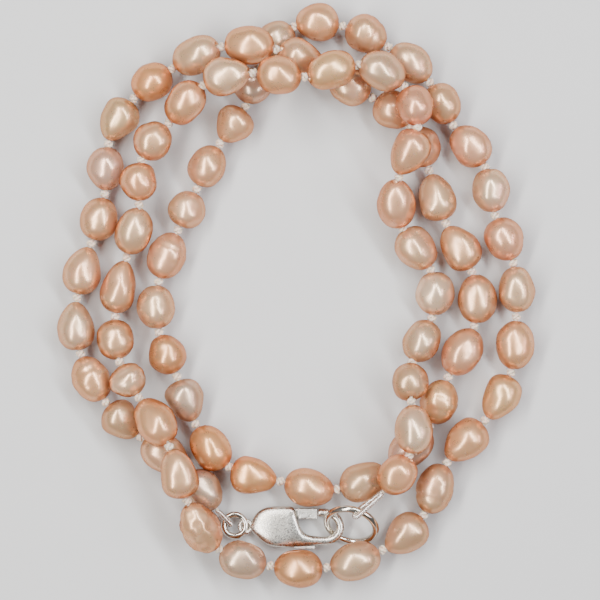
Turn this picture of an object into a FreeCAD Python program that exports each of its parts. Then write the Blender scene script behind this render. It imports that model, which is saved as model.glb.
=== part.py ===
"""Pearl necklace: 74 drilled pearls knotted on one silk thread and laid in three turns.

Both ends of the silk finish in a French wire loop.  The left loop holds a small jump ring
and, on it, a lobster clasp; the right loop holds the large ring that the clasp hooks.
Millimetres, +Z up, the table is z = 0 and the origin is under the middle of the coil.
"""
import FreeCAD, Part
import math
import os

import Sketcher

DIMENSIONS = [
    ("pearl_width", 7.4, "usual diameter of a pearl across its drill hole"),
    ("drill_width", 0.9, "drill hole in the middle of a pearl"),
    ("drill_mouth_width", 2.8, "reamed mouth of the drill hole, at drill_reach from the middle"),
    ("drill_reach", 6.0, "half length of the drill and its reamers"),
    ("drill_waist", 1.0, "half length of the plain hole between the reamed mouths"),
    ("knot_gap", 1.5, "silk left between one pearl and the next"),
    ("knot_width", 1.44, "knot across the silk, at its belt"),
    ("knot_end_width", 0.9, "knot across the silk, at its ends"),
    ("knot_length", 0.72, "knot along the silk"),
    ("knot_belt", 0.3, "the part of that length at full width"),
    ("knot_play", 0.03, "radial room round the silk in a knot"),
    ("silk_width", 0.66, "silk thread, doubled and twisted"),
    ("french_wire_width", 0.95, "outside of the fine wire coil that covers the silk"),
    ("loop_neck_radius", 0.65, "French wire's bend at its pearl, on the centre line"),
    ("small_ring_radius", 2.0, "small jump ring, on the centre line"),
    ("small_ring_wire", 1.15, "wire of the small jump ring"),
    ("large_ring_radius", 4.6, "large ring, on the centre line"),
    ("large_ring_wire", 1.25, "wire of the large ring"),
    ("ring_play", 0.2, "room between a French wire loop and its ring"),
    ("clasp_thickness", 2.2, "clasp body, over both skins"),
    ("clasp_top_edge", 3.85, "gate side of the clasp body, from its long axis"),
    ("clasp_heel_edge", 3.75, "lug side of the clasp body, from its long axis"),
    ("clasp_rounding", 0.2, "rounding round the clasp body's upper skin"),
    ("eye_radius", 1.1, "tail eye, on the centre line"),
    ("eye_wire", 0.8, "wire of the tail eye"),
    ("hook_radius", 2.6, "bend of the hook, on the centre line"),
    ("hook_wire", 1.6, "thickness of the hook"),
    ("hook_root", 10.4, "where the hook leaves the body, from the tail eye"),
    ("hook_reach", 15.0, "from the tail eye to the middle of the hook's bend"),
    ("nose_length", 1.5, "straight end of the hook that the gate meets"),
    ("slot_low", -0.9, "underside of the slot that the trigger swings in"),
    ("slot_high", -0.05, "top of that slot"),
    ("slot_start", 3.4, "blind end of the slot, from the tail eye"),
    ("slot_end", 10.1, "open end of the slot"),
    ("lever_low", -0.75, "underside of the trigger's lever"),
    ("lever_thickness", 0.55, "trigger's lever"),
    ("gate_thickness", 1.5, "end of the gate that meets the nose"),
    ("rivet_along", 8.5, "rivet's distance from the tail eye"),
    ("rivet_across", 2.4, "rivet's distance from the long axis"),
    ("rivet_width", 0.8, "rivet"),
    ("rivet_play", 0.05, "radial room round the rivet in the trigger"),
    ("leaf_thickness", 0.15, "leaf spring"),
    ("leaf_length", 3.6, "leaf spring, from its foot in the slot to the lever"),
]

# The silk's route from the clasp end to the ring end.  The first and last points are at the
# mouths of the end pearls, every other point is a knot, and one pearl sits on each run.
STRAND_POINTS = [
    (-14.5, -39.5, 3.4), (-20.0, -31.5, 4.0), (-29.0, -26.0, 3.7), (-35.5, -19.5, 3.7),
    (-40.5, -10.5, 3.7), (-41.0, 0.0, 3.7), (-38.0, 10.0, 3.7), (-35.0, 19.0, 3.7),
    (-35.5, 28.5, 3.7), (-30.5, 37.0, 3.7), (-23.0, 42.5, 4.2), (-14.0, 46.5, 9.2),
    (-3.5, 46.0, 10.4), (5.5, 41.0, 5.6), (14.0, 37.0, 4.0), (21.5, 32.0, 3.7),
    (24.5, 23.5, 3.7), (27.0, 13.5, 3.7), (33.0, 5.0, 3.7), (33.5, -5.5, 3.7),
    (27.5, -14.5, 3.7), (25.0, -24.0, 3.7), (17.0, -31.5, 3.7), (7.5, -36.3, 3.9),
    (-3.0, -33.8, 4.2), (-13.0, -32.0, 4.2), (-19.0, -23.5, 3.8), (-22.0, -14.5, 3.7),
    (-26.0, -6.5, 3.7), (-26.0, 3.0, 3.7), (-22.0, 12.5, 3.7), (-18.5, 20.0, 3.7),
    (-14.5, 28.5, 3.7), (-9.0, 35.0, 3.7), (-7.5, 43.0, 3.7), (-1.0, 51.0, 3.7),
    (8.5, 50.5, 3.7), (17.0, 46.5, 3.7), (25.0, 40.0, 3.7), (28.5, 31.5, 3.7),
    (35.5, 24.5, 3.7), (36.0, 15.0, 3.7), (40.5, 6.5, 3.7), (40.5, -3.5, 3.7),
    (40.0, -14.0, 3.7), (35.0, -23.0, 3.7), (27.0, -30.0, 3.7), (24.0, -40.5, 3.7),
    (16.0, -47.0, 4.1), (5.5, -50.2, 5.0), (-5.0, -49.7, 4.7), (-15.0, -47.0, 5.2),
    (-20.5, -37.5, 9.8), (-23.0, -27.0, 10.9), (-29.0, -18.5, 7.0), (-33.0, -12.0, 6.2),
    (-34.0, -3.5, 3.8), (-31.5, 7.5, 4.8), (-28.5, 17.0, 7.6), (-29.5, 25.5, 7.4),
    (-23.5, 32.0, 6.6), (-17.5, 39.5, 10.6), (-8.0, 41.5, 14.2), (1.5, 39.5, 14.6),
    (11.0, 43.5, 12.0), (20.25, 39.3, 9.75), (23.0, 31.0, 11.5), (18.0, 22.0, 9.9),
    (18.5, 12.5, 4.8), (25.5, 5.5, 3.8), (25.5, -4.0, 3.7), (20.5, -12.0, 4.6),
    (21.0, -19.0, 9.4), (21.75, -29.4, 11.3), (15.5, -36.0, 9.0),
]
ARC_SHARE = 0.45            # share of the shorter run that each bend takes up
# One letter per pearl: (m)edium or (s)mall across.
PEARL_GRADES = "mmmmmsmsmmmsmmmmmmmmmmmmmsmmmmmmmsmmmmmmmmmmmmmmmsmmmmmmmmmmmmmmmmmmmmmmmmm"
GRADE_SCALE = {"s": 0.96, "m": 1.0}
SINGLE_NODES = 26           # pearls with a node of their own; the others share one in pairs

TAIL_EYE = FreeCAD.Vector(-9.5, -42.35, 1.75)
CLASP_RISE = 3.4            # degrees that the clasp climbs towards its hook
SMALL_RING_CENTRE = FreeCAD.Vector(-11.5, -42.1, 1.75)
SMALL_RING_GRIP = 150.0     # degrees round the small ring where its French wire holds it
LARGE_RING_CENTRE = FreeCAD.Vector(10.0, -42.0, 4.1)
LARGE_RING_SLOPE = (0.3, 1.1)   # climb of the large ring's plane along +X and along +Y
LARGE_RING_GRIP = 80.0
LEAF_FOOT = (3.7, 0.9)      # where the leaf spring starts, in the clasp's own plane
LEAF_TURN = -50.0           # degrees from the clasp's long axis to the leaf spring

X_AXIS = FreeCAD.Vector(1, 0, 0)
Y_AXIS = FreeCAD.Vector(0, 1, 0)
Z_AXIS = FreeCAD.Vector(0, 0, 1)

doc = FreeCAD.newDocument("pearl_necklace")
sheet = doc.addObject("Spreadsheet::Sheet", "Sizes")
for row, (alias, size, meaning) in enumerate(DIMENSIONS, start=1):
    sheet.set(f"A{row}", alias)
    sheet.set(f"B{row}", str(size))
    sheet.set(f"C{row}", meaning)
    sheet.setAlias(f"B{row}", alias)
doc.recompute()
sub_parts = []


def cell(alias):
    """The value of one driving dimension."""
    return float(sheet.get(alias))


def add(kind, name, **expressions):
    """A document object whose properties are bound to the sheet."""
    thing = doc.addObject(kind, name)
    for prop, text in expressions.items():
        thing.setExpression(prop, text)
    return thing


def keep(thing, label):
    """Mark an object as a finished sub-part, written under this name."""
    thing.Label = label
    sub_parts.append(thing)
    return thing


# ---------------------------------------------------------------- the silk's route

def bend(before, corner, after):
    """The arc that rounds one corner of a route: its two ends, its middle and its radius."""
    back = before - corner
    ahead = after - corner
    turn = math.pi - back.getAngle(ahead)
    reach = ARC_SHARE * min(back.Length, ahead.Length)
    radius = reach / math.tan(turn / 2)
    back.normalize()
    ahead.normalize()
    inward = (back + ahead).normalize()
    middle = corner + inward * (radius / math.cos(turn / 2) - radius)
    return corner + back * reach, middle, corner + ahead * reach, radius


def rounded_route(points):
    """Straight runs joined by tangent arcs, with the arcs' middles and radii."""
    edges = []
    middles = []
    radii = []
    start = points[0]
    for before, corner, after in zip(points, points[1:], points[2:]):
        arc_start, middle, arc_end, radius = bend(before, corner, after)
        edges.append(Part.LineSegment(start, arc_start).toShape())
        edges.append(Part.Arc(arc_start, middle, arc_end).toShape())
        middles.append(middle)
        radii.append(radius)
        start = arc_end
    edges.append(Part.LineSegment(start, points[-1]).toShape())
    return Part.Wire(edges), middles, radii


def sweep_tube(path, radius):
    """A round solid rod along a path that starts with a straight or round edge."""
    first = path.OrderedEdges[0]
    start = first.valueAt(first.FirstParameter)
    direction = first.tangentAt(first.FirstParameter)
    section = Part.Wire([Part.Circle(start, direction, radius).toShape()])
    tube = path.makePipeShell([section], True, False)
    return tube if tube.ShapeType == "Solid" else Part.makeSolid(tube)


def pointing(direction):
    """The rotation that turns +Z to a direction."""
    return FreeCAD.Rotation(Z_AXIS, direction)


def knot_barrel():
    """A knot drawn as a barrel round +Z, with a belt, two tapered ends and its own hole."""
    bore = cell("silk_width") / 2 + cell("knot_play")
    wide = cell("knot_width") / 2
    narrow = cell("knot_end_width") / 2
    half = cell("knot_length") / 2
    belt = cell("knot_belt") / 2
    profile = [FreeCAD.Vector(radius, 0, height) for radius, height in (
        (bore, -half), (narrow, -half), (wide, -belt), (wide, belt), (narrow, half),
        (bore, half), (bore, -half))]
    return Part.Face(Part.makePolygon(profile)).revolve(FreeCAD.Vector(), Z_AXIS, 360)


def make_silk(points):
    """The thread, and one knot with its own hole at each bend."""
    path, knot_places, radii = rounded_route(points)
    silk = keep(doc.addObject("Part::Feature", "silk_thread"), "silk_thread")
    silk.Shape = sweep_tube(path, cell("silk_width") / 2)
    section = math.pi * (cell("silk_width") / 2) ** 2
    print(f"silk: {path.Length:.1f} mm, bends {min(radii):.1f} to {max(radii):.1f} mm radius, "
          f"volume {silk.Shape.Volume / (section * path.Length):.4f} of section times length")

    barrel = knot_barrel()
    knots = []
    for before, place, after in zip(points, knot_places, points[2:]):
        copy = barrel.copy()
        copy.Placement = FreeCAD.Placement(place, pointing(after - before))
        knots.append(copy)
    group = keep(doc.addObject("Part::Feature", "silk_knots"), "silk_knots")
    group.Shape = Part.Compound(knots)


# ---------------------------------------------------------------- pearls

def make_drill():
    """The drill that every pearl is pierced with: a fine hole, reamed from both mouths."""
    hole = add("Part::Cylinder", "drill_hole", Radius="Sizes.drill_width / 2",
               Height="Sizes.drill_reach * 2")
    hole.setExpression(".Placement.Base.z", "-Sizes.drill_reach")
    reamers = []
    for name, side in (("drill_far_mouth", 0), ("drill_near_mouth", 180)):
        reamer = add("Part::Cone", name, Radius1="Sizes.drill_width / 2",
                     Radius2="Sizes.drill_mouth_width / 2",
                     Height="Sizes.drill_reach - Sizes.drill_waist")
        turn = FreeCAD.Rotation(X_AXIS, side)
        reamer.Placement = FreeCAD.Placement(turn.multVec(Z_AXIS * cell("drill_waist")), turn)
        reamers.append(reamer)
    drill = doc.addObject("Part::MultiFuse", "drill")
    drill.Shapes = [hole] + reamers
    return drill


def make_pearl(number, start, end, grade, drill):
    """One pearl on the run from one knot to the next, pierced along that run."""
    run = (end - start).Length
    blank = add("Part::Ellipsoid", f"pearl_{number:02d}_blank",
                Radius1=f"({run:.3f} - Sizes.knot_gap) / 2",
                Radius2=f"Sizes.pearl_width * {GRADE_SCALE[grade]} / 2")
    pearl = doc.addObject("Part::Cut", f"pearl_{number:02d}")
    pearl.Base = blank
    pearl.Tool = drill
    pearl.Placement = FreeCAD.Placement((start + end) / 2, pointing(end - start))
    return pearl


def make_pearls(points):
    """All the pearls: single nodes first, then nodes of two neighbours."""
    drill = make_drill()
    pearls = [make_pearl(number, start, end, grade, drill) for number, (start, end, grade)
              in enumerate(zip(points, points[1:], PEARL_GRADES), start=1)]
    for number, pearl in enumerate(pearls[:SINGLE_NODES], start=1):
        keep(pearl, f"pearl_{number:02d}")
    for first in range(SINGLE_NODES, len(pearls), 2):
        name = f"pearls_{first + 1:02d}_{first + 2:02d}"
        pair = doc.addObject("Part::Compound", name)
        pair.Links = pearls[first:first + 2]
        keep(pair, name)


# ---------------------------------------------------------------- rings and French wire

def make_ring(name, centre, turn):
    """A soldered round ring, its axis turned from +Z."""
    ring = add("Part::Torus", name, Radius1=f"Sizes.{name}_radius",
               Radius2=f"Sizes.{name}_wire / 2")
    ring.Placement = FreeCAD.Placement(centre, turn)
    keep(ring, name)


def ring_point(centre, turn, radius, degrees):
    """A point on a ring's centre line and the wire's direction there."""
    angle = math.radians(degrees)
    outward = FreeCAD.Vector(math.cos(angle), math.sin(angle), 0)
    along = FreeCAD.Vector(-math.sin(angle), math.cos(angle), 0)
    return centre + turn.multVec(outward * radius), turn.multVec(along)


def make_french_wire(name, grip, ring_wire_direction, ring_wire, silk_end):
    """A closed loop round a ring's wire that reaches the end of the silk."""
    tube = cell("french_wire_width") / 2
    neck = cell("loop_neck_radius")
    bight = ring_wire / 2 + cell("ring_play") + tube
    pull = silk_end - grip
    reach = pull.Length - neck
    pull.normalize()
    across = ring_wire_direction.cross(pull).normalize()
    lean = math.acos((bight - neck) / reach)

    def at(centre_along, radius, angle):
        return grip + pull * (centre_along + radius * math.cos(angle)) \
            + across * (radius * math.sin(angle))

    edges = [
        Part.LineSegment(at(0, bight, lean), at(reach, neck, lean)).toShape(),
        Part.Arc(at(reach, neck, lean), at(reach, neck, 0), at(reach, neck, -lean)).toShape(),
        Part.LineSegment(at(reach, neck, -lean), at(0, bight, -lean)).toShape(),
        Part.Arc(at(0, bight, -lean), at(0, bight, math.pi), at(0, bight, lean)).toShape(),
    ]
    loop = keep(doc.addObject("Part::Feature", name), name)
    loop.Shape = sweep_tube(Part.Wire(edges), tube)


def make_ends(points):
    """Both rings, each held to its end of the silk by a French wire loop."""
    flat = FreeCAD.Rotation()
    climb_x, climb_y = LARGE_RING_SLOPE
    steepest = math.degrees(math.atan2(climb_y, climb_x))
    tilt = math.degrees(math.atan(math.hypot(climb_x, climb_y)))
    # Level in its own X, climbing in its own Y, and then turned about Z.
    leaning = FreeCAD.Rotation(Z_AXIS, steepest - 90) * FreeCAD.Rotation(X_AXIS, tilt)

    make_ring("small_ring", SMALL_RING_CENTRE, flat)
    make_ring("large_ring", LARGE_RING_CENTRE, leaning)
    grip, along = ring_point(SMALL_RING_CENTRE, flat, cell("small_ring_radius"), SMALL_RING_GRIP)
    make_french_wire("french_wire_left", grip, along, cell("small_ring_wire"), points[0])
    print(f"left grip {grip}, wire direction {along}")
    grip, along = ring_point(LARGE_RING_CENTRE, leaning, cell("large_ring_radius"),
                             LARGE_RING_GRIP)
    make_french_wire("french_wire_right", grip, along, cell("large_ring_wire"), points[-1])
    print(f"right grip {grip}, wire direction {along}")


# ---------------------------------------------------------------- clasp

def origin_plane(body, role):
    """One of a body's own origin planes."""
    return next(plane for plane in body.Origin.OriginFeatures if plane.Role == role)


def add_sketch(body, name, role, height=None):
    """An empty sketch on an origin plane, raised along its normal by a cell's value."""
    sketch = body.newObject("Sketcher::SketchObject", name)
    sketch.AttachmentSupport = (origin_plane(body, role), [""])
    sketch.MapMode = "FlatFace"
    if height:
        sketch.setExpression(".AttachmentOffset.Base.z", height)
    return sketch


def draw_outline(sketch, corners):
    """A closed outline of straight lines, joined end to end."""
    vectors = [FreeCAD.Vector(x, y, 0) for x, y in corners]
    count = len(vectors)
    lines = [Part.LineSegment(vectors[i], vectors[(i + 1) % count]) for i in range(count)]
    sketch.addGeometry(lines)
    for i in range(count):
        sketch.addConstraint(Sketcher.Constraint("Coincident", i, 2, (i + 1) % count, 1))


def add_pad(body, sketch, name, length, symmetric=False):
    """Material on a sketch, up from it or half to each side."""
    pad = body.newObject("PartDesign::Pad", name)
    pad.Profile = sketch
    pad.Midplane = symmetric
    pad.setExpression("Length", length)
    return pad


def draw_leaf(sketch):
    """The clasp body's outline: a leaf with a hollow towards the hook's opening."""
    top = cell("clasp_top_edge")
    heel = -cell("clasp_heel_edge")
    corners = {name: FreeCAD.Vector(x, y, 0) for name, x, y in (
        ("tail_top", 1.1, 0.75), ("shoulder", 4.1, top), ("gate_corner", 8.8, top),
        ("slope_start", 9.2, 3.2), ("slope_end", 9.9, -0.3), ("arm_inner", 12.0, -1.9),
        ("arm_outer", 12.0, -3.3), ("heel_corner", 8.4, heel), ("belly", 4.1, heel),
        ("tail_low", 1.1, -0.75))}
    top_bulge = FreeCAD.Vector(2.25, 2.75, 0)
    low_bulge = FreeCAD.Vector(2.25, -2.7, 0)
    throat = FreeCAD.Vector(10.6, -1.45, 0)
    c = corners
    geometry = [
        Part.Arc(c["tail_top"], top_bulge, c["shoulder"]),
        Part.LineSegment(c["shoulder"], c["gate_corner"]),
        Part.LineSegment(c["gate_corner"], c["slope_start"]),
        Part.LineSegment(c["slope_start"], c["slope_end"]),
        Part.Arc(c["slope_end"], throat, c["arm_inner"]),
        Part.LineSegment(c["arm_inner"], c["arm_outer"]),
        Part.LineSegment(c["arm_outer"], c["heel_corner"]),
        Part.LineSegment(c["heel_corner"], c["belly"]),
        Part.Arc(c["belly"], low_bulge, c["tail_low"]),
        Part.LineSegment(c["tail_low"], c["tail_top"]),
    ]
    sketch.addGeometry(geometry)


def make_clasp_body(placement):
    """Leaf-shaped shell with a slot for the trigger, a tail eye and the hook."""
    body = doc.addObject("PartDesign::Body", "clasp_body")
    leaf = add_sketch(body, "clasp_leaf", "XY_Plane")
    draw_leaf(leaf)
    pad = add_pad(body, leaf, "clasp_plate", "Sizes.clasp_thickness", symmetric=True)
    doc.recompute()
    half = cell("clasp_thickness") / 2
    top_edges = [f"Edge{i}" for i, edge in enumerate(pad.Shape.Edges, start=1)
                 if all(abs(corner.Z - half) < 1e-6 for corner in edge.Vertexes)]
    rounding = body.newObject("PartDesign::Fillet", "clasp_rounded_top")
    rounding.Base = (pad, top_edges)
    rounding.setExpression("Radius", "Sizes.clasp_rounding")
    doc.recompute()

    slot_sketch = add_sketch(body, "slot_outline", "XZ_Plane")
    draw_outline(slot_sketch, [
        (cell("slot_start"), cell("slot_low")), (cell("slot_end"), cell("slot_low")),
        (cell("slot_end"), cell("slot_high")), (cell("slot_start"), cell("slot_high"))])
    slot = body.newObject("PartDesign::Pocket", "trigger_slot")
    slot.Profile = slot_sketch
    slot.Midplane = True
    slot.setExpression("Length", "(Sizes.clasp_top_edge + Sizes.clasp_heel_edge) * 2")
    doc.recompute()

    hook_path = add_sketch(body, "hook_path", "XY_Plane")
    reach = cell("hook_reach")
    radius = cell("hook_radius")
    nose = reach - cell("nose_length")
    root = cell("hook_root")
    bend_centre = FreeCAD.Vector(reach, 0, 0)
    hook_path.addGeometry([
        Part.LineSegment(FreeCAD.Vector(root, -radius, 0), FreeCAD.Vector(reach, -radius, 0)),
        Part.ArcOfCircle(Part.Circle(bend_centre, Z_AXIS, radius), -math.pi / 2, math.pi / 2),
        Part.LineSegment(FreeCAD.Vector(reach, radius, 0), FreeCAD.Vector(nose, radius, 0))])
    hook_section = add_sketch(body, "hook_section", "YZ_Plane", "Sizes.hook_root")
    hook_section.addGeometry(Part.Circle(FreeCAD.Vector(-radius, 0, 0), Z_AXIS,
                                         cell("hook_wire") / 2))
    hook_section.addConstraint(Sketcher.Constraint("Diameter", 0, cell("hook_wire")))
    hook_section.setExpression("Constraints[0]", "Sizes.hook_wire")
    hook = body.newObject("PartDesign::AdditivePipe", "hook")
    hook.Profile = hook_section
    hook.Spine = (hook_path, ["Edge1", "Edge2", "Edge3"])
    doc.recompute()

    eye_section = add_sketch(body, "eye_section", "XY_Plane")
    eye_section.addGeometry(Part.Circle(FreeCAD.Vector(cell("eye_radius"), 0, 0), Z_AXIS,
                                        cell("eye_wire") / 2))
    eye_section.addConstraint(Sketcher.Constraint("Diameter", 0, cell("eye_wire")))
    eye_section.setExpression("Constraints[0]", "Sizes.eye_wire")
    eye = body.newObject("PartDesign::Revolution", "tail_eye")
    eye.Profile = eye_section
    eye.ReferenceAxis = (eye_section, ["V_Axis"])
    eye.Angle = 360
    doc.recompute()

    rivet_hole = add_sketch(body, "rivet_hole", "XY_Plane")
    rivet_hole.addGeometry(Part.Circle(rivet_centre(), Z_AXIS, cell("rivet_width") / 2))
    drilled = body.newObject("PartDesign::Pocket", "rivet_bore")
    drilled.Profile = rivet_hole
    drilled.Midplane = True
    drilled.setExpression("Length", "Sizes.clasp_thickness * 2")
    doc.recompute()
    body.Tip = drilled
    body.Placement = placement
    keep(body, "clasp_body")


def rivet_centre():
    """The rivet's place in the clasp's own plane."""
    return FreeCAD.Vector(cell("rivet_along"), cell("rivet_across"), 0)


def make_trigger(placement):
    """Lever on the rivet: its thick gate closes on the nose, its lug sticks out at the heel."""
    body = doc.addObject("PartDesign::Body", "clasp_trigger")
    lever_sketch = add_sketch(body, "lever_outline", "XY_Plane", "Sizes.lever_low")
    draw_outline(lever_sketch, [
        (7.2, 3.35), (13.3, 3.35), (13.3, 1.75), (9.6, 1.75), (8.3, -1.5), (8.6, -3.2),
        (10.0, -3.68), (12.8, -3.68), (12.8, -4.08), (9.3, -4.08), (6.6, -2.9), (6.2, -1.4)])
    lever = add_pad(body, lever_sketch, "lever", "Sizes.lever_thickness")
    doc.recompute()
    gate_sketch = add_sketch(body, "gate_outline", "XY_Plane")
    draw_outline(gate_sketch, [(9.8, 3.35), (13.3, 3.35), (13.3, 1.75), (9.8, 1.75)])
    gate = add_pad(body, gate_sketch, "gate", "Sizes.gate_thickness", symmetric=True)
    doc.recompute()
    bore_sketch = add_sketch(body, "trigger_bore_outline", "XY_Plane")
    bore_sketch.addGeometry(Part.Circle(rivet_centre(), Z_AXIS,
                                        cell("rivet_width") / 2 + cell("rivet_play")))
    bore = body.newObject("PartDesign::Pocket", "trigger_bore")
    bore.Profile = bore_sketch
    bore.Midplane = True
    bore.setExpression("Length", "Sizes.gate_thickness * 2")
    doc.recompute()
    print(f"trigger volume: lever {lever.Shape.Volume:.2f}, with gate {gate.Shape.Volume:.2f}, "
          f"bored {bore.Shape.Volume:.2f} mm3")
    body.Tip = bore
    body.Placement = placement
    keep(body, "clasp_trigger")


def make_trigger_hardware(placement):
    """The rivet, flush with both skins, and the leaf spring behind the lever."""
    rivet = add("Part::Cylinder", "trigger_pin", Radius="Sizes.rivet_width / 2",
                Height="Sizes.clasp_thickness")
    foot = FreeCAD.Vector(rivet_centre().x, rivet_centre().y, -cell("clasp_thickness") / 2)
    rivet.Placement = placement * FreeCAD.Placement(foot, FreeCAD.Rotation())
    keep(rivet, "trigger_pin")

    leaf = add("Part::Box", "trigger_spring", Length="Sizes.leaf_length",
               Width="Sizes.leaf_thickness", Height="Sizes.lever_thickness")
    leaf_foot = FreeCAD.Vector(*LEAF_FOOT, cell("lever_low"))
    leaf.Placement = placement * FreeCAD.Placement(leaf_foot,
                                                   FreeCAD.Rotation(Z_AXIS, LEAF_TURN))
    keep(leaf, "trigger_spring")


def make_clasp():
    """The whole clasp, climbing from its tail eye to the hook."""
    placement = FreeCAD.Placement(TAIL_EYE, FreeCAD.Rotation(Y_AXIS, -CLASP_RISE))
    make_clasp_body(placement)
    make_trigger(placement)
    make_trigger_hardware(placement)
    print(f"rivet at {placement.multVec(rivet_centre())}, "
          f"its axis {placement.Rotation.multVec(Z_AXIS)}")


# ---------------------------------------------------------------- build, check and write

strand = [FreeCAD.Vector(*point) for point in STRAND_POINTS]
make_silk(strand)
make_pearls(strand)
make_ends(strand)
make_clasp()
doc.recompute()

for thing in doc.Objects:
    if "Invalid" in thing.State or "Error" in thing.State:
        raise RuntimeError(f"{thing.Label} failed: {thing.State}")
for thing in sub_parts:
    if thing.Shape.isNull() or not thing.Shape.isValid():
        raise RuntimeError(f"{thing.Label} has no valid shape")

os.makedirs("parts", exist_ok=True)
for thing in sub_parts:
    thing.Shape.exportStep(f"parts/{thing.Label}.step")
whole = Part.Compound([thing.Shape for thing in sub_parts])
print(f"{len(sub_parts)} sub-parts, {len(whole.Solids)} solids, box {whole.BoundBox}")
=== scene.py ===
"""Looks of the pearl necklace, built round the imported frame.

Sizes are in metres, except in the clasp's own drawing, which is in millimetres.  The strand's
route repeats the CAD file's points; pearls, knots and silk follow it, and the clasp's pieces are
made in the clasp's own plane and turned into place.
"""

import math
import random

import bmesh
import bpy
from mathutils import Matrix, Vector, noise


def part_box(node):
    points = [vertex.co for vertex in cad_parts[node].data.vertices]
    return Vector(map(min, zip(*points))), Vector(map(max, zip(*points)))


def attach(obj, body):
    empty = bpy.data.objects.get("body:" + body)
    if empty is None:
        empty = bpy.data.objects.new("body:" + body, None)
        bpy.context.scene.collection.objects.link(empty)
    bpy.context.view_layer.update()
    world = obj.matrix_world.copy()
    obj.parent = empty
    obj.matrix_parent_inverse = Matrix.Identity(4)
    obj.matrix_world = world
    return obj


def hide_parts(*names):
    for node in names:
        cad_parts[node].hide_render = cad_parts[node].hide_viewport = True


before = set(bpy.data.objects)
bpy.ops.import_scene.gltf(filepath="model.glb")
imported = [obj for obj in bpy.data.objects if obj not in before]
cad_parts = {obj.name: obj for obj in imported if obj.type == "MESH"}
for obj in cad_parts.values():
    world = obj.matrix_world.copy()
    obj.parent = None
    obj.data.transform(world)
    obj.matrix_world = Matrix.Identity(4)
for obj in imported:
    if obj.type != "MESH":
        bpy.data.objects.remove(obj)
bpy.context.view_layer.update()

MM = 0.001
STRAND_POINTS = [
    (-0.0145, -0.0395, 0.0034), (-0.0200, -0.0315, 0.0040), (-0.0290, -0.0260, 0.0037),
    (-0.0355, -0.0195, 0.0037), (-0.0405, -0.0105, 0.0037), (-0.0410, 0.0000, 0.0037),
    (-0.0380, 0.0100, 0.0037), (-0.0350, 0.0190, 0.0037), (-0.0355, 0.0285, 0.0037),
    (-0.0305, 0.0370, 0.0037), (-0.0230, 0.0425, 0.0042), (-0.0140, 0.0465, 0.0092),
    (-0.0035, 0.0460, 0.0104), (0.0055, 0.0410, 0.0056), (0.0140, 0.0370, 0.0040),
    (0.0215, 0.0320, 0.0037), (0.0245, 0.0235, 0.0037), (0.0270, 0.0135, 0.0037),
    (0.0330, 0.0050, 0.0037), (0.0335, -0.0055, 0.0037), (0.0275, -0.0145, 0.0037),
    (0.0250, -0.0240, 0.0037), (0.0170, -0.0315, 0.0037), (0.0075, -0.0363, 0.0039),
    (-0.0030, -0.0338, 0.0042), (-0.0130, -0.0320, 0.0042), (-0.0190, -0.0235, 0.0038),
    (-0.0220, -0.0145, 0.0037), (-0.0260, -0.0065, 0.0037), (-0.0260, 0.0030, 0.0037),
    (-0.0220, 0.0125, 0.0037), (-0.0185, 0.0200, 0.0037), (-0.0145, 0.0285, 0.0037),
    (-0.0090, 0.0350, 0.0037), (-0.0075, 0.0430, 0.0037), (-0.0010, 0.0510, 0.0037),
    (0.0085, 0.0505, 0.0037), (0.0170, 0.0465, 0.0037), (0.0250, 0.0400, 0.0037),
    (0.0285, 0.0315, 0.0037), (0.0355, 0.0245, 0.0037), (0.0360, 0.0150, 0.0037),
    (0.0405, 0.0065, 0.0037), (0.0405, -0.0035, 0.0037), (0.0400, -0.0140, 0.0037),
    (0.0350, -0.0230, 0.0037), (0.0270, -0.0300, 0.0037), (0.0240, -0.0405, 0.0037),
    (0.0160, -0.0470, 0.0041), (0.0055, -0.0502, 0.0050), (-0.0050, -0.0497, 0.0047),
    (-0.0150, -0.0470, 0.0052), (-0.0205, -0.0375, 0.0098), (-0.0230, -0.0270, 0.0109),
    (-0.0290, -0.0185, 0.0070), (-0.0330, -0.0120, 0.0062), (-0.0340, -0.0035, 0.0038),
    (-0.0315, 0.0075, 0.0048), (-0.0285, 0.0170, 0.0076), (-0.0295, 0.0255, 0.0074),
    (-0.0235, 0.0320, 0.0066), (-0.0175, 0.0395, 0.0106), (-0.0080, 0.0415, 0.0142),
    (0.0015, 0.0395, 0.0146), (0.0110, 0.0435, 0.0120), (0.02025, 0.0393, 0.00975),
    (0.0230, 0.0310, 0.0115), (0.0180, 0.0220, 0.0099), (0.0185, 0.0125, 0.0048),
    (0.0255, 0.0055, 0.0038), (0.0255, -0.0040, 0.0037), (0.0205, -0.0120, 0.0046),
    (0.0210, -0.0190, 0.0094), (0.02175, -0.0294, 0.0113), (0.0155, -0.0360, 0.0090),
]
SILK_WIDTH = 0.66 * MM
KNOT_GAP = 1.5 * MM         # silk between one pearl and the next
PEARL_WIDTH = 7.4 * MM

# One letter per pearl, from the clasp end: its tone in PEARL_TONES, then its build.
PEARL_COLOURS = ("gctaepplvo" "capcpkcppk" "yltaoogbck" "cppgeapcpk"
                 "wkcayatteb" "gppacppcap" "acayespkcw" "etwa")
# (o)val, (r)ound, narrow at its (n)ear or (f)ar end, (c)reased round, (w)rinkled.
PEARL_BUILDS = ("ooncffoono" "orfooonnoo" "cooononooc" "ronooocooo"
                "roooffcfoo" "owfocofooo" "oforoofroo" "rooo")
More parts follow.
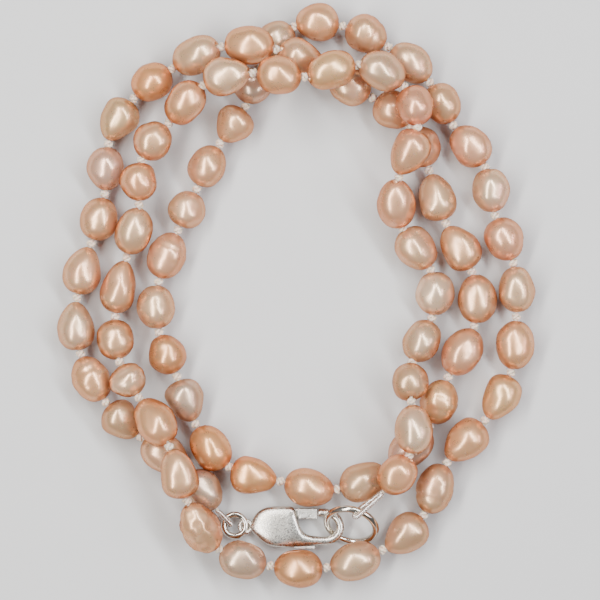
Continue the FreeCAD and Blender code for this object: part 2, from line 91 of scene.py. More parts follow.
# Base colours, linear, of each tone's nacre.
PEARL_TONES = {
    "g": (0.64, 0.45, 0.33), "c": (0.80, 0.52, 0.33), "t": (0.68, 0.43, 0.26),
    "a": (0.80, 0.44, 0.24), "e": (0.74, 0.50, 0.33), "p": (0.78, 0.46, 0.27),
    "l": (0.76, 0.47, 0.35), "v": (0.71, 0.47, 0.26), "o": (0.80, 0.40, 0.18),
    "k": (0.81, 0.45, 0.28), "y": (0.80, 0.48, 0.25), "b": (0.70, 0.36, 0.18),
    "w": (0.83, 0.59, 0.41), "s": (0.80, 0.40, 0.25),
}
SINGLE_NODES = 26           # pearls whose CAD node holds one pearl; later nodes hold two

TAIL_EYE = Vector((-9.5, -42.35, 1.75)) * MM
CLASP_RISE = math.radians(3.4)          # slope of the clasp's plane towards its hook
LARGE_RING_SLOPE = (0.3, 1.1)           # rise of the ring's plane along x and along y
LARGE_RING_GRIP = math.radians(80)      # where round each ring its French wire holds it
SMALL_RING_GRIP = math.radians(150)
SMALL_RING_WIRE = 1.15 * MM
LARGE_RING_WIRE = 1.25 * MM
LARGE_RING_RADIUS = 4.6 * MM            # to the middle of its wire
RING_PLAY = 0.2 * MM                    # gap between a ring's wire and its French wire
FRENCH_WIRE_WIDTH = 0.95 * MM
LOOP_NECK = 0.65 * MM                   # radius of a French wire's bend at its pearl


# ---------------------------------------------------------------- small helpers

def new_object(name, data):
    """An object in the scene that holds this mesh or curve."""
    thing = bpy.data.objects.new(name, data)
    bpy.context.scene.collection.objects.link(thing)
    return thing


def mesh_from(name, points, faces, material, smooth=True):
    """A mesh object made from points and faces."""
    mesh = bpy.data.meshes.new(name)
    mesh.from_pydata(points, [], faces)
    mesh.update()
    for polygon in mesh.polygons:
        polygon.use_smooth = smooth
    mesh.materials.append(material)
    return new_object(name, mesh)


def apply_modifiers(thing):
    """The object's mesh with its modifiers made real."""
    bpy.context.view_layer.update()
    graph = bpy.context.evaluated_depsgraph_get()
    mesh = bpy.data.meshes.new_from_object(thing.evaluated_get(graph))
    thing.modifiers.clear()
    thing.data = mesh


def tube(path, radius, sides, closed=False):
    """Points and faces of a round tube along a path, with flat ends when it is open."""
    count = len(path)
    points = []
    faces = []
    across = None
    for i, place in enumerate(path):
        if closed:
            ahead = (path[(i + 1) % count] - path[i - 1]).normalized()
        else:
            ahead = (path[min(i + 1, count - 1)] - path[max(i - 1, 0)]).normalized()
        if across is None:
            across = ahead.orthogonal().normalized()
        across = (across - ahead * across.dot(ahead)).normalized()
        upward = ahead.cross(across)
        for side in range(sides):
            turn = math.tau * side / sides
            points.append(place + (across * math.cos(turn) + upward * math.sin(turn)) * radius)
    for i in range(count if closed else count - 1):
        for side in range(sides):
            following = (side + 1) % sides
            after = (i + 1) % count
            faces.append((i * sides + side, i * sides + following,
                          after * sides + following, after * sides + side))
    if not closed:
        faces.append(tuple(reversed(range(sides))))
        faces.append(tuple(range((count - 1) * sides, count * sides)))
    return points, faces


def gather(pieces):
    """Several (points, faces) as one."""
    points = []
    faces = []
    for more_points, more_faces in pieces:
        first = len(points)
        points += more_points
        faces += [tuple(first + index for index in face) for face in more_faces]
    return points, faces


# ---------------------------------------------------------------- materials

class Shading:
    """A node material on one Principled shader, with short calls to add nodes."""

    def __init__(self, name, **constants):
        self.material = bpy.data.materials.new(name)
        self.material.use_nodes = True
        self.tree = self.material.node_tree
        self.shader = self.tree.nodes["Principled BSDF"]
        for socket, value in constants.items():
            self.shader.inputs[socket.replace("_", " ")].default_value = value

    def node(self, kind, **settings):
        """A new node of this kind, with its settings."""
        made = self.tree.nodes.new(kind)
        for key, value in settings.items():
            setattr(made, key, value)
        return made

    def link(self, source, target):
        """Joins an output to an input."""
        self.tree.links.new(source, target)

    def place(self):
        """Coordinates in the object's own space."""
        return self.node("ShaderNodeTexCoord").outputs["Object"]

    def noise(self, scale, detail=2.0, roughness=0.5, vary=None):
        """Fractal noise in object space; vary shifts it from one object to the next."""
        made = self.node("ShaderNodeTexNoise", noise_dimensions="4D" if vary else "3D")
        made.inputs["Scale"].default_value = scale
        made.inputs["Detail"].default_value = detail
        made.inputs["Roughness"].default_value = roughness
        self.link(self.place(), made.inputs["Vector"])
        if vary:
            self.link(vary, made.inputs["W"])
        return made.outputs["Fac"]

    def spread(self, source, low, high, to_low, to_high):
        """Source, stretched from one range to another and held inside it."""
        made = self.node("ShaderNodeMapRange")
        for socket, value in zip(("From Min", "From Max", "To Min", "To Max"),
                                 (low, high, to_low, to_high)):
            made.inputs[socket].default_value = value
        self.link(source, made.inputs["Value"])
        return made.outputs["Result"]

    def blend(self, share, first, second):
        """A colour between two colours, each a value or a socket."""
        made = self.node("ShaderNodeMix", data_type="RGBA")
        factor, first_colour, second_colour, result = 0, 6, 7, 2    # its sockets for colours
        self.link(share, made.inputs[factor])
        for slot, colour in ((first_colour, first), (second_colour, second)):
            if isinstance(colour, bpy.types.NodeSocket):
                self.link(colour, made.inputs[slot])
            else:
                made.inputs[slot].default_value = (*colour, 1)
        return made.outputs[result]

    def bump(self, height, strength, distance, under=None):
        """Surface relief on the shader's normal."""
        made = self.node("ShaderNodeBump")
        made.inputs["Strength"].default_value = strength
        made.inputs["Distance"].default_value = distance
        self.link(height, made.inputs["Height"])
        if under:
            self.link(under, made.inputs["Normal"])
        self.link(made.outputs["Normal"], self.shader.inputs["Normal"])
        return made.outputs["Normal"]

    def feed(self, source, socket):
        """Joins an output to the shader's named input."""
        self.link(source, self.shader.inputs[socket])


def tinted(colour, red, green, blue):
    """A colour with each channel scaled and kept under 1."""
    brightest = 0.98
    return tuple(min(brightest, part * scale) for part, scale in zip(colour, (red, green, blue)))


def make_pearl_material(tone, colour):
    """Nacre: painted shade, deep and warm, where it faces down or sideways, and painted light,
    paler, where it faces up.

    Cloudy patches and a thin film's overtones vary from pearl to pearl, under a clear gloss.
    """
    look = Shading(f"nacre_{tone}", IOR=1.5, Coat_Weight=0.42, Coat_Roughness=0.18,
                   Coat_IOR=1.75, Subsurface_Weight=0.2, Subsurface_Scale=0.001,
                   Thin_Film_IOR=1.4, Metallic=0.55)
    look.shader.inputs["Subsurface Radius"].default_value = (1.0, 0.45, 0.2)
    look.shader.inputs["Specular Tint"].default_value = (0.82, 0.45, 0.22, 1)
    look.shader.inputs["Coat Tint"].default_value = (1.0, 0.88, 0.76, 1)
    vary = look.spread(look.node("ShaderNodeObjectInfo").outputs["Random"], 0, 1, 0, 40)

    # Painted shade and painted light: darker, warmer colour where the normal points down or
    # sideways, paler where it points up.
    facing = look.node("ShaderNodeSeparateXYZ")
    look.link(look.node("ShaderNodeNewGeometry").outputs["Normal"], facing.inputs[0])
    upward = look.spread(facing.outputs["Z"], 0.1, 0.95, 0, 1)
    painted_shade_underside = tinted(colour, 0.58, 0.31, 0.12)
    painted_light_crown = tinted(colour, 0.96, 1.02, 1.02)
    body = look.blend(upward, painted_shade_underside, painted_light_crown)

    cloud = look.noise(210, 3, 0.55, vary)
    milky = tinted(colour, 1.1, 1.22, 1.4)
    pale = look.blend(look.spread(cloud, 0.52, 0.75, 0, 0.6), body, milky)
    rose = look.noise(150, 2, 0.5, vary)
    rosy = tinted(colour, 1.02, 0.8, 0.86)
    warm = look.blend(look.spread(rose, 0.5, 0.7, 0, 0.5), pale, rosy)
    look.feed(warm, "Base Color")

    overtone = look.noise(230, 1, 0.4, vary)
    thinnest, thickest = 330, 560           # nanometres of film
    look.feed(look.spread(overtone, 0.3, 0.7, thinnest, thickest), "Thin Film Thickness")
    look.feed(look.spread(look.noise(600, 3, 0.6, vary), 0.3, 0.7, 0.25, 0.34), "Roughness")
    ripple = look.bump(look.noise(420, 2, 0.5, vary), 0.15, 0.0002)
    look.bump(look.noise(1600, 1, 0.4, vary), 0.02, 0.00003, ripple)
    return look.material


def make_silk_material():
    """Twisted ivory silk with fine fibres."""
    look = Shading("ivory_silk", Roughness=0.55, Sheen_Weight=0.35, Sheen_Roughness=0.4,
                   Subsurface_Weight=0.2, Subsurface_Scale=0.0004)
    shade = look.noise(2600, 3, 0.6)
    shaded = (0.74, 0.55, 0.42)
    ivory = (0.96, 0.84, 0.70)
    look.feed(look.blend(look.spread(shade, 0.35, 0.7, 0, 1), shaded, ivory), "Base Color")
    fibres = look.node("ShaderNodeTexWave", wave_type="BANDS", bands_direction="DIAGONAL")
    fibres.inputs["Scale"].default_value = 2400
    fibres.inputs["Distortion"].default_value = 3.0
    fibres.inputs["Detail"].default_value = 2.0
    look.link(look.place(), fibres.inputs["Vector"])
    look.bump(fibres.outputs["Fac"], 0.5, 0.00008)
    return look.material


def make_metal_material(name, bright, dark, roughness, grain, relief):
    """Silver whose colour and gloss vary with a grain of the given scale."""
    look = Shading(name, Metallic=1.0)
    look.shader.inputs["Specular Tint"].default_value = (1.0, 0.98, 0.94, 1)
    tarnish = look.noise(190, 4, 0.65)
    look.feed(look.blend(look.spread(tarnish, 0.35, 0.7, 0, 1), dark, bright), "Base Color")
    grit = look.noise(grain, 4, 0.65)
    low, high = roughness
    look.feed(look.spread(grit, 0.3, 0.7, low, high), "Roughness")
    look.bump(grit, relief, 0.00006)
    return look.material


def make_floor_material():
    """Pale matt card."""
    look = Shading("pale_floor", Roughness=0.85)
    mottle = look.noise(60, 4, 0.6)
    look.feed(look.blend(mottle, (0.62, 0.62, 0.62), (0.66, 0.66, 0.655)), "Base Color")
    return look.material


SILK = make_silk_material()
BULLION = make_metal_material("bullion_wire", bright=(0.93, 0.90, 0.87),
                              dark=(0.78, 0.72, 0.68), roughness=(0.16, 0.3),
                              grain=3000, relief=0.1)
POLISHED = make_metal_material("polished_silver", bright=(0.86, 0.82, 0.76),
                               dark=(0.62, 0.57, 0.49), roughness=(0.10, 0.24),
                               grain=2400, relief=0.12)
SATIN = make_metal_material("satin_silver", bright=(0.80, 0.77, 0.72),
                            dark=(0.50, 0.47, 0.41), roughness=(0.2, 0.38),
                            grain=3600, relief=0.45)
FROSTED = make_metal_material("frosted_silver", bright=(0.90, 0.88, 0.85),
                              dark=(0.60, 0.58, 0.54), roughness=(0.22, 0.45),
                              grain=2000, relief=1.0)
STEEL = make_metal_material("spring_leaf", bright=(0.62, 0.63, 0.65),
                            dark=(0.42, 0.43, 0.46), roughness=(0.25, 0.4),
                            grain=2000, relief=0.2)


# ---------------------------------------------------------------- camera

def make_camera():
    """Straight over the table with a long lens, the clasp at the foot of the picture."""
    data = bpy.data.cameras.new("camera")
    data.lens = 300
    view_width = 0.1111         # of the table, across the picture
    middle_x = 0.00056
    middle_y = -0.00046
    camera = new_object("camera", data)
    distance = view_width * data.lens / data.sensor_width
    camera.location = (middle_x, middle_y, distance)
    data.clip_start = distance * 0.1
    data.clip_end = distance * 10
    bpy.context.scene.camera = camera


make_camera()


# ---------------------------------------------------------------- silk

def make_silk():
    """The thread as a smooth curve, and the points read along it."""
    curve = bpy.data.curves.new("silk_strand", "CURVE")
    curve.dimensions = "3D"
    curve.resolution_u = 16
    spline = curve.splines.new("NURBS")
    spline.points.add(len(STRAND_POINTS) - 1)
    for point, place in zip(spline.points, STRAND_POINTS):
        point.co = (*place, 1)
    spline.order_u = 3
    spline.use_endpoint_u = True
    silk = new_object("silk_strand", curve)
    plain = bpy.data.meshes.new_from_object(silk)
    read = [vertex.co.copy() for vertex in plain.vertices]
    bpy.data.meshes.remove(plain)
    curve.bevel_depth = SILK_WIDTH / 2
    curve.bevel_resolution = 4
    curve.use_fill_caps = True
    curve.materials.append(SILK)
    return silk, read


silk_strand, ROUTE = make_silk()


def on_route(target):
    """The point of the silk nearest to a target, and the silk's direction there."""
    nearest = min(range(len(ROUTE)), key=lambda i: (ROUTE[i] - target).length_squared)
    ahead = ROUTE[min(nearest + 2, len(ROUTE) - 1)] - ROUTE[max(nearest - 2, 0)]
    ahead.normalize()
    return ROUTE[nearest] + ahead * (target - ROUTE[nearest]).dot(ahead), ahead


def knot_tube(place, ahead, spin):
    """One overhand knot: a trefoil of thread, pulled tight round the silk."""
    thread = 0.30 * MM          # radius of the thread that is tied
    ring = 0.40 * MM            # mean distance of its middle from the silk's
    swing = 0.22 * MM
    rise = 0.39 * MM
    lobes = 3
    rounds = 2
    steps = 40
    sides = 8
    along_silk = ahead.to_track_quat("Z", "Y").to_matrix()
    path = []
    for step in range(steps):
        turn = math.tau * step / steps
        reach = ring + swing * math.cos(lobes * turn)
        angle = rounds * turn + spin
        local = Vector((reach * math.cos(angle), reach * math.sin(angle),
                        rise * math.sin(lobes * turn)))
        path.append(place + along_silk @ local)
    return tube(path, thread, sides, closed=True)


def make_knots():
    """All the knots as one piece."""
    chance = random.Random(3)
    knots = []
    for corner in STRAND_POINTS[1:-1]:
        place, ahead = on_route(Vector(corner))
        knots.append(knot_tube(place, ahead, chance.uniform(0, math.tau)))
    points, faces = gather(knots)
    return mesh_from("silk_knot_row", points, faces, SILK)


silk_knot_row = make_knots()
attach(silk_strand, "strand")
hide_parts("silk_thread")
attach(silk_knot_row, "strand")
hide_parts("silk_knots")


# ---------------------------------------------------------------- pearls

ELLIPSE = 0.5                           # power that makes a plain ellipsoid
BLUNT_POWERS = {"r": 0.42, "o": 0.47}   # a lower power makes blunter ends
DROP_LEANS = {"f": -0.24, "n": 0.24}    # how much narrower a drop is towards one end
# Rings round a creased pearl: place along it, width and depth, as shares of its half sizes.
CREASES = ((0.38, 0.1, 0.035), (-0.2, 0.07, 0.02))


def pearl_profile(build, lean, share):
    """Half width at a place along a pearl, from -1 at its near end to 1, as a share."""
    bulge = 1 - share * share
    wide = max(0.0, bulge) ** BLUNT_POWERS.get(build, ELLIPSE)
    narrow = DROP_LEANS.get(build, lean)
    wide *= 1 + narrow * share - abs(narrow) * 0.25 * bulge
    if build == "c":
        for place, width, depth in CREASES:
            wide *= 1 - depth * math.exp(-((share - place) / width) ** 2)
    return wide


# Relief on the nacre: how fine it is, and its height in millimetres.
FOLDS = (1.7, 0.9)
CRINKLES = (4, 0.12)
SWELLS = (1.15, 0.34)
DENTS = (2.9, 0.05)
FOLD_LIFT = 0.25 * MM       # height of the ridges between the folds


def nacre_relief(direction, seed, fineness, height):
    """Smooth noise in one direction from a pearl's middle, in metres."""
    return noise.noise(direction * fineness + seed) * height * MM


def surface_noise(direction, seed, build):
    """Distance that the nacre stands out from the plain shape: folds, or swells and dents."""
    if build == "w":
        folds = abs(nacre_relief(direction, seed, *FOLDS))
        return FOLD_LIFT - folds + nacre_relief(direction, seed, *CRINKLES)
    return nacre_relief(direction, seed, *SWELLS) + nacre_relief(direction, seed, *DENTS)


DRILL_MOUTH = 0.16          # angle from a pearl's axis where its skin stops, in radians
DRILL_RADIUS = 0.45 * MM
DRILL_DEPTH = 1.3 * MM      # how deep the hole is modelled, before its flat bottom
REAMED_RADIUS = DRILL_RADIUS * 1.15
REAMED_DEPTH = 0.12 * MM


def add_drill_hole(points, faces, edge, height, sign):
    """The reamed mouth and the hole inside an edge loop at one end, added to a pearl's mesh."""
    columns = len(edge)
    for inner, sunk in ((REAMED_RADIUS, REAMED_DEPTH), (DRILL_RADIUS, DRILL_DEPTH)):
        first = len(points)
        for column in range(columns):
            turn = math.tau * column / columns
            points.append(Vector((math.cos(turn) * inner, math.sin(turn) * inner,
                                  sign * (height - sunk))))
        ring = [first + column for column in range(columns)]
        for column in range(columns):
            after = (column + 1) % columns
            quad = (edge[column], ring[column], ring[after], edge[after])
            faces.append(quad if sign < 0 else tuple(reversed(quad)))
        edge = ring
    faces.append(tuple(edge) if sign > 0 else tuple(reversed(edge)))


def make_pearl(number, start, end, build, material):
    """One drilled pearl, with a recessed mouth at each end of its hole."""
    chance = random.Random(number)
    rows = 34
    columns = 48
    half_length = ((end - start).length - KNOT_GAP) / 2
    half_width = PEARL_WIDTH / 2 * chance.uniform(0.97, 1.02)
    lean = chance.uniform(-0.09, 0.09)
    squash = chance.uniform(0.96, 1.0)
    seed = Vector((number * 7.3, number * 3.1, number * 5.7))

    points = []
    for row in range(rows + 1):
        angle = DRILL_MOUTH + (math.pi - 2 * DRILL_MOUTH) * row / rows
        share = -math.cos(angle)
        wide = half_width * pearl_profile(build, lean, share)
        for column in range(columns):
            turn = math.tau * column / columns
            direction = Vector((math.cos(turn) * math.sin(angle),
                                math.sin(turn) * math.sin(angle), share))
            out = surface_noise(direction, seed, build) * math.sin(angle)
            points.append(Vector((math.cos(turn) * (wide * squash + out),
                                  math.sin(turn) * (wide + out),
                                  share * half_length)))
    widest = max(math.hypot(point.x, point.y) for point in points)
    for point in points:
        point.x *= half_width / widest
        point.y *= half_width / widest
    faces = [(row * columns + column, row * columns + (column + 1) % columns,
              (row + 1) * columns + (column + 1) % columns, (row + 1) * columns + column)
             for row in range(rows) for column in range(columns)]
    for end_row, sign in ((0, -1), (rows, 1)):
        edge = [end_row * columns + column for column in range(columns)]
        add_drill_hole(points, faces, edge, half_length * math.cos(DRILL_MOUTH), sign)
    spin = Matrix.Rotation(chance.uniform(0, math.tau), 3, "Z")
    turn = (end - start).to_track_quat("Z", "Y").to_matrix() @ spin
    pearl = mesh_from(f"nacre_{number:02d}", [turn @ point for point in points], faces, material)
    pearl.location, _ = on_route((start + end) / 2)
    return pearl


def make_pearls():
    """Every pearl, riding on the strand in place of its CAD node."""
    materials = {tone: make_pearl_material(tone, colour)
                 for tone, colour in PEARL_TONES.items()}
    corners = [Vector(point) for point in STRAND_POINTS]
    runs = zip(corners, corners[1:], PEARL_COLOURS, PEARL_BUILDS)
    for number, (start, end, tone, build) in enumerate(runs, start=1):
        pearl = make_pearl(number, start, end, build, materials[tone])
        if number <= SINGLE_NODES:
            node = f"pearl_{number:02d}"
        else:
            first = number - (number - SINGLE_NODES - 1) % 2
            node = f"pearls_{first:02d}_{first + 1:02d}"
        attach(pearl, "strand")
        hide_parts(node)


make_pearls()


# ---------------------------------------------------------------- French wire and rings

def loop_path(grip, wire_direction, ring_wire, silk_end):
    """The centre line of a French wire loop, round a ring's wire and back to its pearl."""
    bight = ring_wire / 2 + RING_PLAY + FRENCH_WIRE_WIDTH / 2
    pull = silk_end - grip
    reach = pull.length - LOOP_NECK
    pull.normalize()
    across = wire_direction.cross(pull).normalized()
    lean = math.acos((bight - LOOP_NECK) / reach)

    def at(along, radius, angle):
        return grip + pull * (along + radius * math.cos(angle)) \
            + across * (radius * math.sin(angle))

    path = []
    steps = 24                  # on each of the two legs and the two bends
    for step in range(steps):
        path.append(at(0, bight, lean).lerp(at(reach, LOOP_NECK, lean), step / steps))
    for step in range(steps):
        path.append(at(reach, LOOP_NECK, lean - 2 * lean * step / steps))
    for step in range(steps):
        path.append(at(reach, LOOP_NECK, -lean).lerp(at(0, bight, -lean), step / steps))
    for step in range(steps):
        path.append(at(0, bight, -lean - (math.tau - 2 * lean) * step / steps))
    return path


def wound(path, radius, pitch, per_turn):
    """A helix wound round a closed path."""
    count = len(path)
    lengths = [(path[(i + 1) % count] - path[i]).length for i in range(count)]
    total = sum(lengths)
    turns = round(total / pitch)
    coil = []
    across = None
    index = 0
    walked = 0.0
    for step in range(turns * per_turn):
        distance = total * step / (turns * per_turn)
        while walked + lengths[index] < distance:
            walked += lengths[index]
            index += 1
        ahead = path[(index + 1) % count] - path[index]
        place = path[index] + ahead * ((distance - walked) / lengths[index])
        ahead.normalize()
        if across is None:
            across = ahead.orthogonal().normalized()
        across = (across - ahead * across.dot(ahead)).normalized()
        angle = math.tau * step / per_turn
        coil.append(place + (across * math.cos(angle)
                             + ahead.cross(across) * math.sin(angle)) * radius)
    return coil


def make_french_wire(name, node, grip, wire_direction, ring_wire, silk_end):
    """Fine wire wound close round its silk core."""
    path = loop_path(grip, wire_direction, ring_wire, silk_end)
    fine = 0.11 * MM            # radius of the wire that is wound
    radius = FRENCH_WIRE_WIDTH / 2 - fine
    pitch = fine * 2.15         # a little over the wire's width, so the turns stay apart
    core = radius * 0.96
    coil = wound(path, radius, pitch, per_turn=12)
    points, faces = gather([tube(coil, fine, sides=6), tube(path, core, sides=12, closed=True)])
    loop = mesh_from(name, points, faces, BULLION)
    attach(loop, "strand")
    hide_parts(node)


def repaint(node, material):
    """A better material on a CAD node that stays."""
    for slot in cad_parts[node].material_slots:
        slot.material = material


def make_ends():
    """Both French wire loops, and the silver of both rings."""
    repaint("small_ring", POLISHED)
    repaint("large_ring", POLISHED)
    small_low, small_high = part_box("small_ring")
    small_centre = (Vector(small_low) + Vector(small_high)) / 2
    small_radius = (small_high[0] - small_low[0] - SMALL_RING_WIRE) / 2
    outward = Vector((math.cos(SMALL_RING_GRIP), math.sin(SMALL_RING_GRIP), 0))
    along = Vector((-outward.y, outward.x, 0))
    make_french_wire("bullion_left", "french_wire_left", small_centre + outward * small_radius,
                     along, SMALL_RING_WIRE, Vector(STRAND_POINTS[0]))

    large_low, large_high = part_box("large_ring")
    large_centre = (Vector(large_low) + Vector(large_high)) / 2
    climb_x, climb_y = LARGE_RING_SLOPE
    leaning = (Matrix.Rotation(math.atan2(climb_y, climb_x) - math.pi / 2, 3, "Z")
               @ Matrix.Rotation(math.atan(math.hypot(climb_x, climb_y)), 3, "X"))
    outward = leaning @ Vector((math.cos(LARGE_RING_GRIP), math.sin(LARGE_RING_GRIP), 0))
    along = leaning @ Vector((-math.sin(LARGE_RING_GRIP), math.cos(LARGE_RING_GRIP), 0))
    make_french_wire("bullion_right", "french_wire_right",
                     large_centre + outward * LARGE_RING_RADIUS, along, LARGE_RING_WIRE,
                     Vector(STRAND_POINTS[-1]))


make_ends()


# ---------------------------------------------------------------- clasp

# The body's stations: along the clasp from its tail eye and across it, the direction of the
# sweep in degrees, half the width, half the thickness and the squareness of the section.
# Lengths in this part of the file are in millimetres.
CLASP_STATIONS = [
    (0.85, 0.00, 0, 0.50, 0.42, 2.0), (1.15, 0.05, 0, 1.05, 0.55, 2.0),
    (1.60, 0.30, 0, 1.80, 0.78, 2.2), (2.20, 0.42, 0, 2.38, 0.95, 2.4),
    (3.10, 0.32, 0, 3.10, 1.10, 2.6), (4.20, 0.10, 0, 3.66, 1.20, 2.7),
    (5.40, 0.00, 0, 3.88, 1.24, 2.8), (7.80, 0.00, 0, 3.88, 1.24, 2.8),
    (8.75, 0.00, 0, 3.84, 1.20, 2.8),
    (9.20, -0.25, 0, 3.50, 1.14, 2.7), (9.65, -1.10, 0, 2.62, 1.08, 2.6),
    (10.15, -1.95, 0, 1.72, 1.02, 2.4), (10.9, -2.38, 0, 1.22, 0.94, 2.2),
    (12.00, -2.57, 0, 0.95, 0.86, 2.0), (13.60, -2.60, 0, 0.85, 0.82, 2.0),
]
HOOK_RADIUS = 2.6
HOOK_REACH = 15.0           # from the tail eye to the middle of the hook's bend
HOOK_SECTION = (0.82, 0.80, 2.0)
HOOK_STEPS = 7
HOOK_TIP_STATIONS = [
    (14.2, HOOK_RADIUS, 180, 0.80, 0.78, 2.0), (13.55, HOOK_RADIUS, 180, 0.78, 0.76, 2.0),
    (13.45, HOOK_RADIUS, 180, 0.62, 0.60, 2.0),
]
SLOT_CORNERS = ((3.4, -6, -0.9), (10.1, 6, -0.05))
EYE_RADIUS = 1.1            # to the middle of the eye's wire
EYE_WIRE_RADIUS = 0.4
# The trigger's outlines along and across the clasp, as seen from above.
LEVER_OUTLINE = [
    (12.7, -3.68), (10.0, -3.68), (8.6, -3.2), (8.3, -1.5), (9.6, 1.75), (13.2, 1.75),
    (13.2, 3.25), (7.2, 3.25), (6.2, -1.4), (6.6, -2.9), (9.3, -4.05), (12.7, -4.05),
]
GATE_OUTLINE = [(9.95, 1.5), (13.3, 1.5), (13.3, 3.4), (9.6, 3.4)]
LUG_OUTLINE = [(9.7, -4.1), (12.8, -4.1), (12.8, -3.45), (9.7, -3.6)]
TRIGGER_UNDERSIDE = -0.75


def ring_section(along, across, heading, half_width, half_thickness, squareness, sides=16):
    """One closed section of the clasp body, as a rounded oval across the sweep."""
    turn = math.radians(heading)
    sideways = Vector((-math.sin(turn), math.cos(turn), 0))
    section = []
    for side in range(sides):
        angle = math.tau * (side + 0.5) / sides
        wide = math.copysign(abs(math.cos(angle)) ** (2 / squareness), math.cos(angle))
        high = math.copysign(abs(math.sin(angle)) ** (2 / squareness), math.sin(angle))
        section.append((Vector((along, across, 0)) + sideways * (wide * half_width)
                        + Vector((0, 0, high * half_thickness))) * MM)
    return section


def clasp_placement():
    """From the clasp's own plane to its place on the table."""
    return Matrix.Translation(TAIL_EYE) @ Matrix.Rotation(-CLASP_RISE, 4, "Y")


def make_clasp_body():
    """Domed satin leaf that runs on into the hook, slotted for the trigger."""
    stations = list(CLASP_STATIONS)
    for step in range(HOOK_STEPS + 1):
        angle = -90 + 180 * step / HOOK_STEPS
        reach = math.radians(angle)
        stations.append((HOOK_REACH + HOOK_RADIUS * math.cos(reach),
                         HOOK_RADIUS * math.sin(reach), angle + 90, *HOOK_SECTION))
    stations += HOOK_TIP_STATIONS
    sections = [ring_section(*station) for station in stations]
    sides = len(sections[0])
    points = [point for section in sections for point in section]
    faces = [tuple(reversed(range(sides)))]
    for row in range(len(sections) - 1):
        for side in range(sides):
            after = (side + 1) % sides
            faces.append((row * sides + side, row * sides + after,
                          (row + 1) * sides + after, (row + 1) * sides + side))
    faces.append(tuple(range((len(sections) - 1) * sides, len(sections) * sides)))
    body = mesh_from("clasp_shell", points, faces, SATIN)
    smooth = body.modifiers.new("smooth", "SUBSURF")
    smooth.levels = smooth.render_levels = 2
    apply_modifiers(body)

    slot = make_block("slot_cutter", *SLOT_CORNERS)
    cut = body.modifiers.new("slot", "BOOLEAN")
    cut.operation = "DIFFERENCE"
    cut.object = slot
    apply_modifiers(body)
    bpy.data.objects.remove(slot)

    steps = 48
    turns = [math.tau * step / steps for step in range(steps)]
    eye_ring = [Vector((EYE_RADIUS * math.cos(turn), EYE_RADIUS * math.sin(turn), 0)) * MM
                for turn in turns]
    eye_points, eye_faces = tube(eye_ring, EYE_WIRE_RADIUS * MM, sides=16, closed=True)
    eye = mesh_from("eye", eye_points, eye_faces, SATIN)
    join(body, eye)
    body.matrix_world = clasp_placement()
    return body


def make_block(name, low, high):
    """A plain box between two corners given in millimetres, for cutting."""
    corners = [Vector((x, y, z)) * MM for x in (low[0], high[0]) for y in (low[1], high[1])
               for z in (low[2], high[2])]
    faces = [(0, 1, 3, 2), (4, 6, 7, 5), (0, 4, 5, 1), (2, 3, 7, 6), (0, 2, 6, 4), (1, 5, 7, 3)]
    return mesh_from(name, corners, faces, SATIN, smooth=False)


def join(target, *others):
    """Other meshes added to the target's mesh; they must share its frame."""
    gathered = bmesh.new()
    gathered.from_mesh(target.data)
    for other in others:
        gathered.from_mesh(other.data)
        bpy.data.objects.remove(other)
    gathered.to_mesh(target.data)
    gathered.free()
    for polygon in target.data.polygons:
        polygon.use_smooth = True


def bevelled_plate(name, outline, low, high, edge):
    """An outline in millimetres, raised between two heights and softened at its edges."""
    count = len(outline)
    points = [Vector((x, y, z)) * MM for z in (low, high) for x, y in outline]
    faces = [tuple(reversed(range(count))), tuple(range(count, 2 * count))]
    faces += [(i, (i + 1) % count, count + (i + 1) % count, count + i) for i in range(count)]
    plate = mesh_from(name, points, faces, FROSTED)
    bevel = plate.modifiers.new("soft_edges", "BEVEL")
    bevel.width = edge * MM
    bevel.segments = 3
    bevel.limit_method = "ANGLE"
    bevel.harden_normals = True
    apply_modifiers(plate)
    return plate


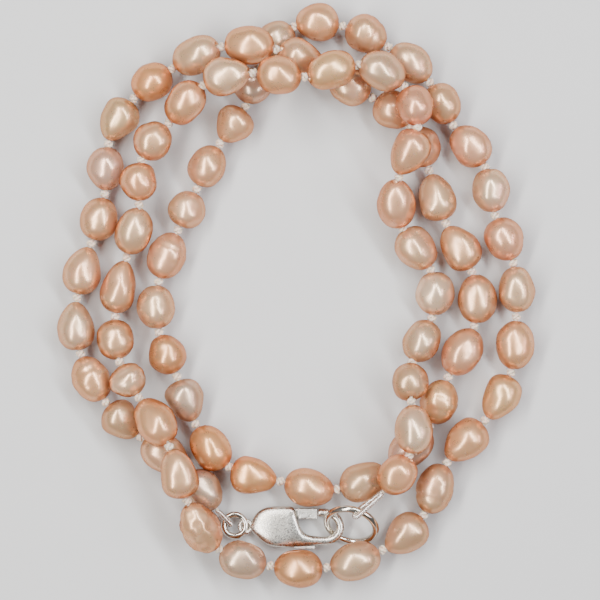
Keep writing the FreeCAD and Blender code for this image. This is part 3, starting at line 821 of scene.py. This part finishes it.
def make_trigger():
    """Gate block and lever: the lug at the heel is what a thumbnail pulls."""
    low = TRIGGER_UNDERSIDE
    lever = bevelled_plate("trigger_gate", LEVER_OUTLINE, low, high=-0.2, edge=0.1)
    gate = bevelled_plate("gate_block", GATE_OUTLINE, low, high=0.85, edge=0.14)
    lug = bevelled_plate("lug_block", LUG_OUTLINE, low, high=-0.02, edge=0.12)
    join(lever, gate, lug)
    lever.matrix_world = clasp_placement()
    return lever


def make_clasp():
    """The clasp's pieces on their bodies, with better silver on what stays from the CAD."""
    body = make_clasp_body()
    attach(body, "clasp")
    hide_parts("clasp_body")
    trigger = make_trigger()
    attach(trigger, "trigger")
    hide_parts("clasp_trigger")
    repaint("trigger_pin", SATIN)
    repaint("trigger_spring", STEEL)


make_clasp()


# ---------------------------------------------------------------- floor and light

def make_floor():
    """A wide pale table under the coil."""
    half = 3.0                  # of the table's side
    floor = mesh_from("floor", [Vector((-half, -half, 0)), Vector((half, -half, 0)),
                                Vector((half, half, 0)), Vector((-half, half, 0))],
                      [(0, 1, 2, 3)], make_floor_material(), smooth=False)


def make_tube_light(name, middle, heading, length, width, power, colour):
    """A long soft lamp over the table; heading is in degrees clockwise from +Y."""
    data = bpy.data.lights.new(name, "AREA")
    data.shape = "RECTANGLE"
    data.size = width
    data.size_y = length
    data.energy = power
    data.color = colour
    lamp = new_object(name, data)
    lamp.location = middle
    lamp.rotation_euler = (0, 0, -math.radians(heading))


def make_world():
    """Even grey studio light from all round."""
    world = bpy.data.worlds.new("studio")
    world.use_nodes = True
    back = world.node_tree.nodes["Background"]
    back.inputs["Color"].default_value = (0.86, 0.87, 0.9, 1)
    back.inputs["Strength"].default_value = 0.16
    bpy.context.scene.world = world


make_floor()
make_tube_light("tube_left", (-0.26, -0.02, 0.5), heading=17, length=0.9, width=0.11,
                power=6.6, colour=(1.0, 0.98, 0.95))
make_tube_light("tube_right", (0.24, 0.12, 0.5), heading=-32, length=0.8, width=0.10,
                power=5.4, colour=(0.93, 0.97, 1.0))
make_tube_light("tube_rose", (0.62, -0.05, 0.45), heading=-15, length=0.5, width=0.08,
                power=2.0, colour=(1.0, 0.80, 0.90))
make_world()
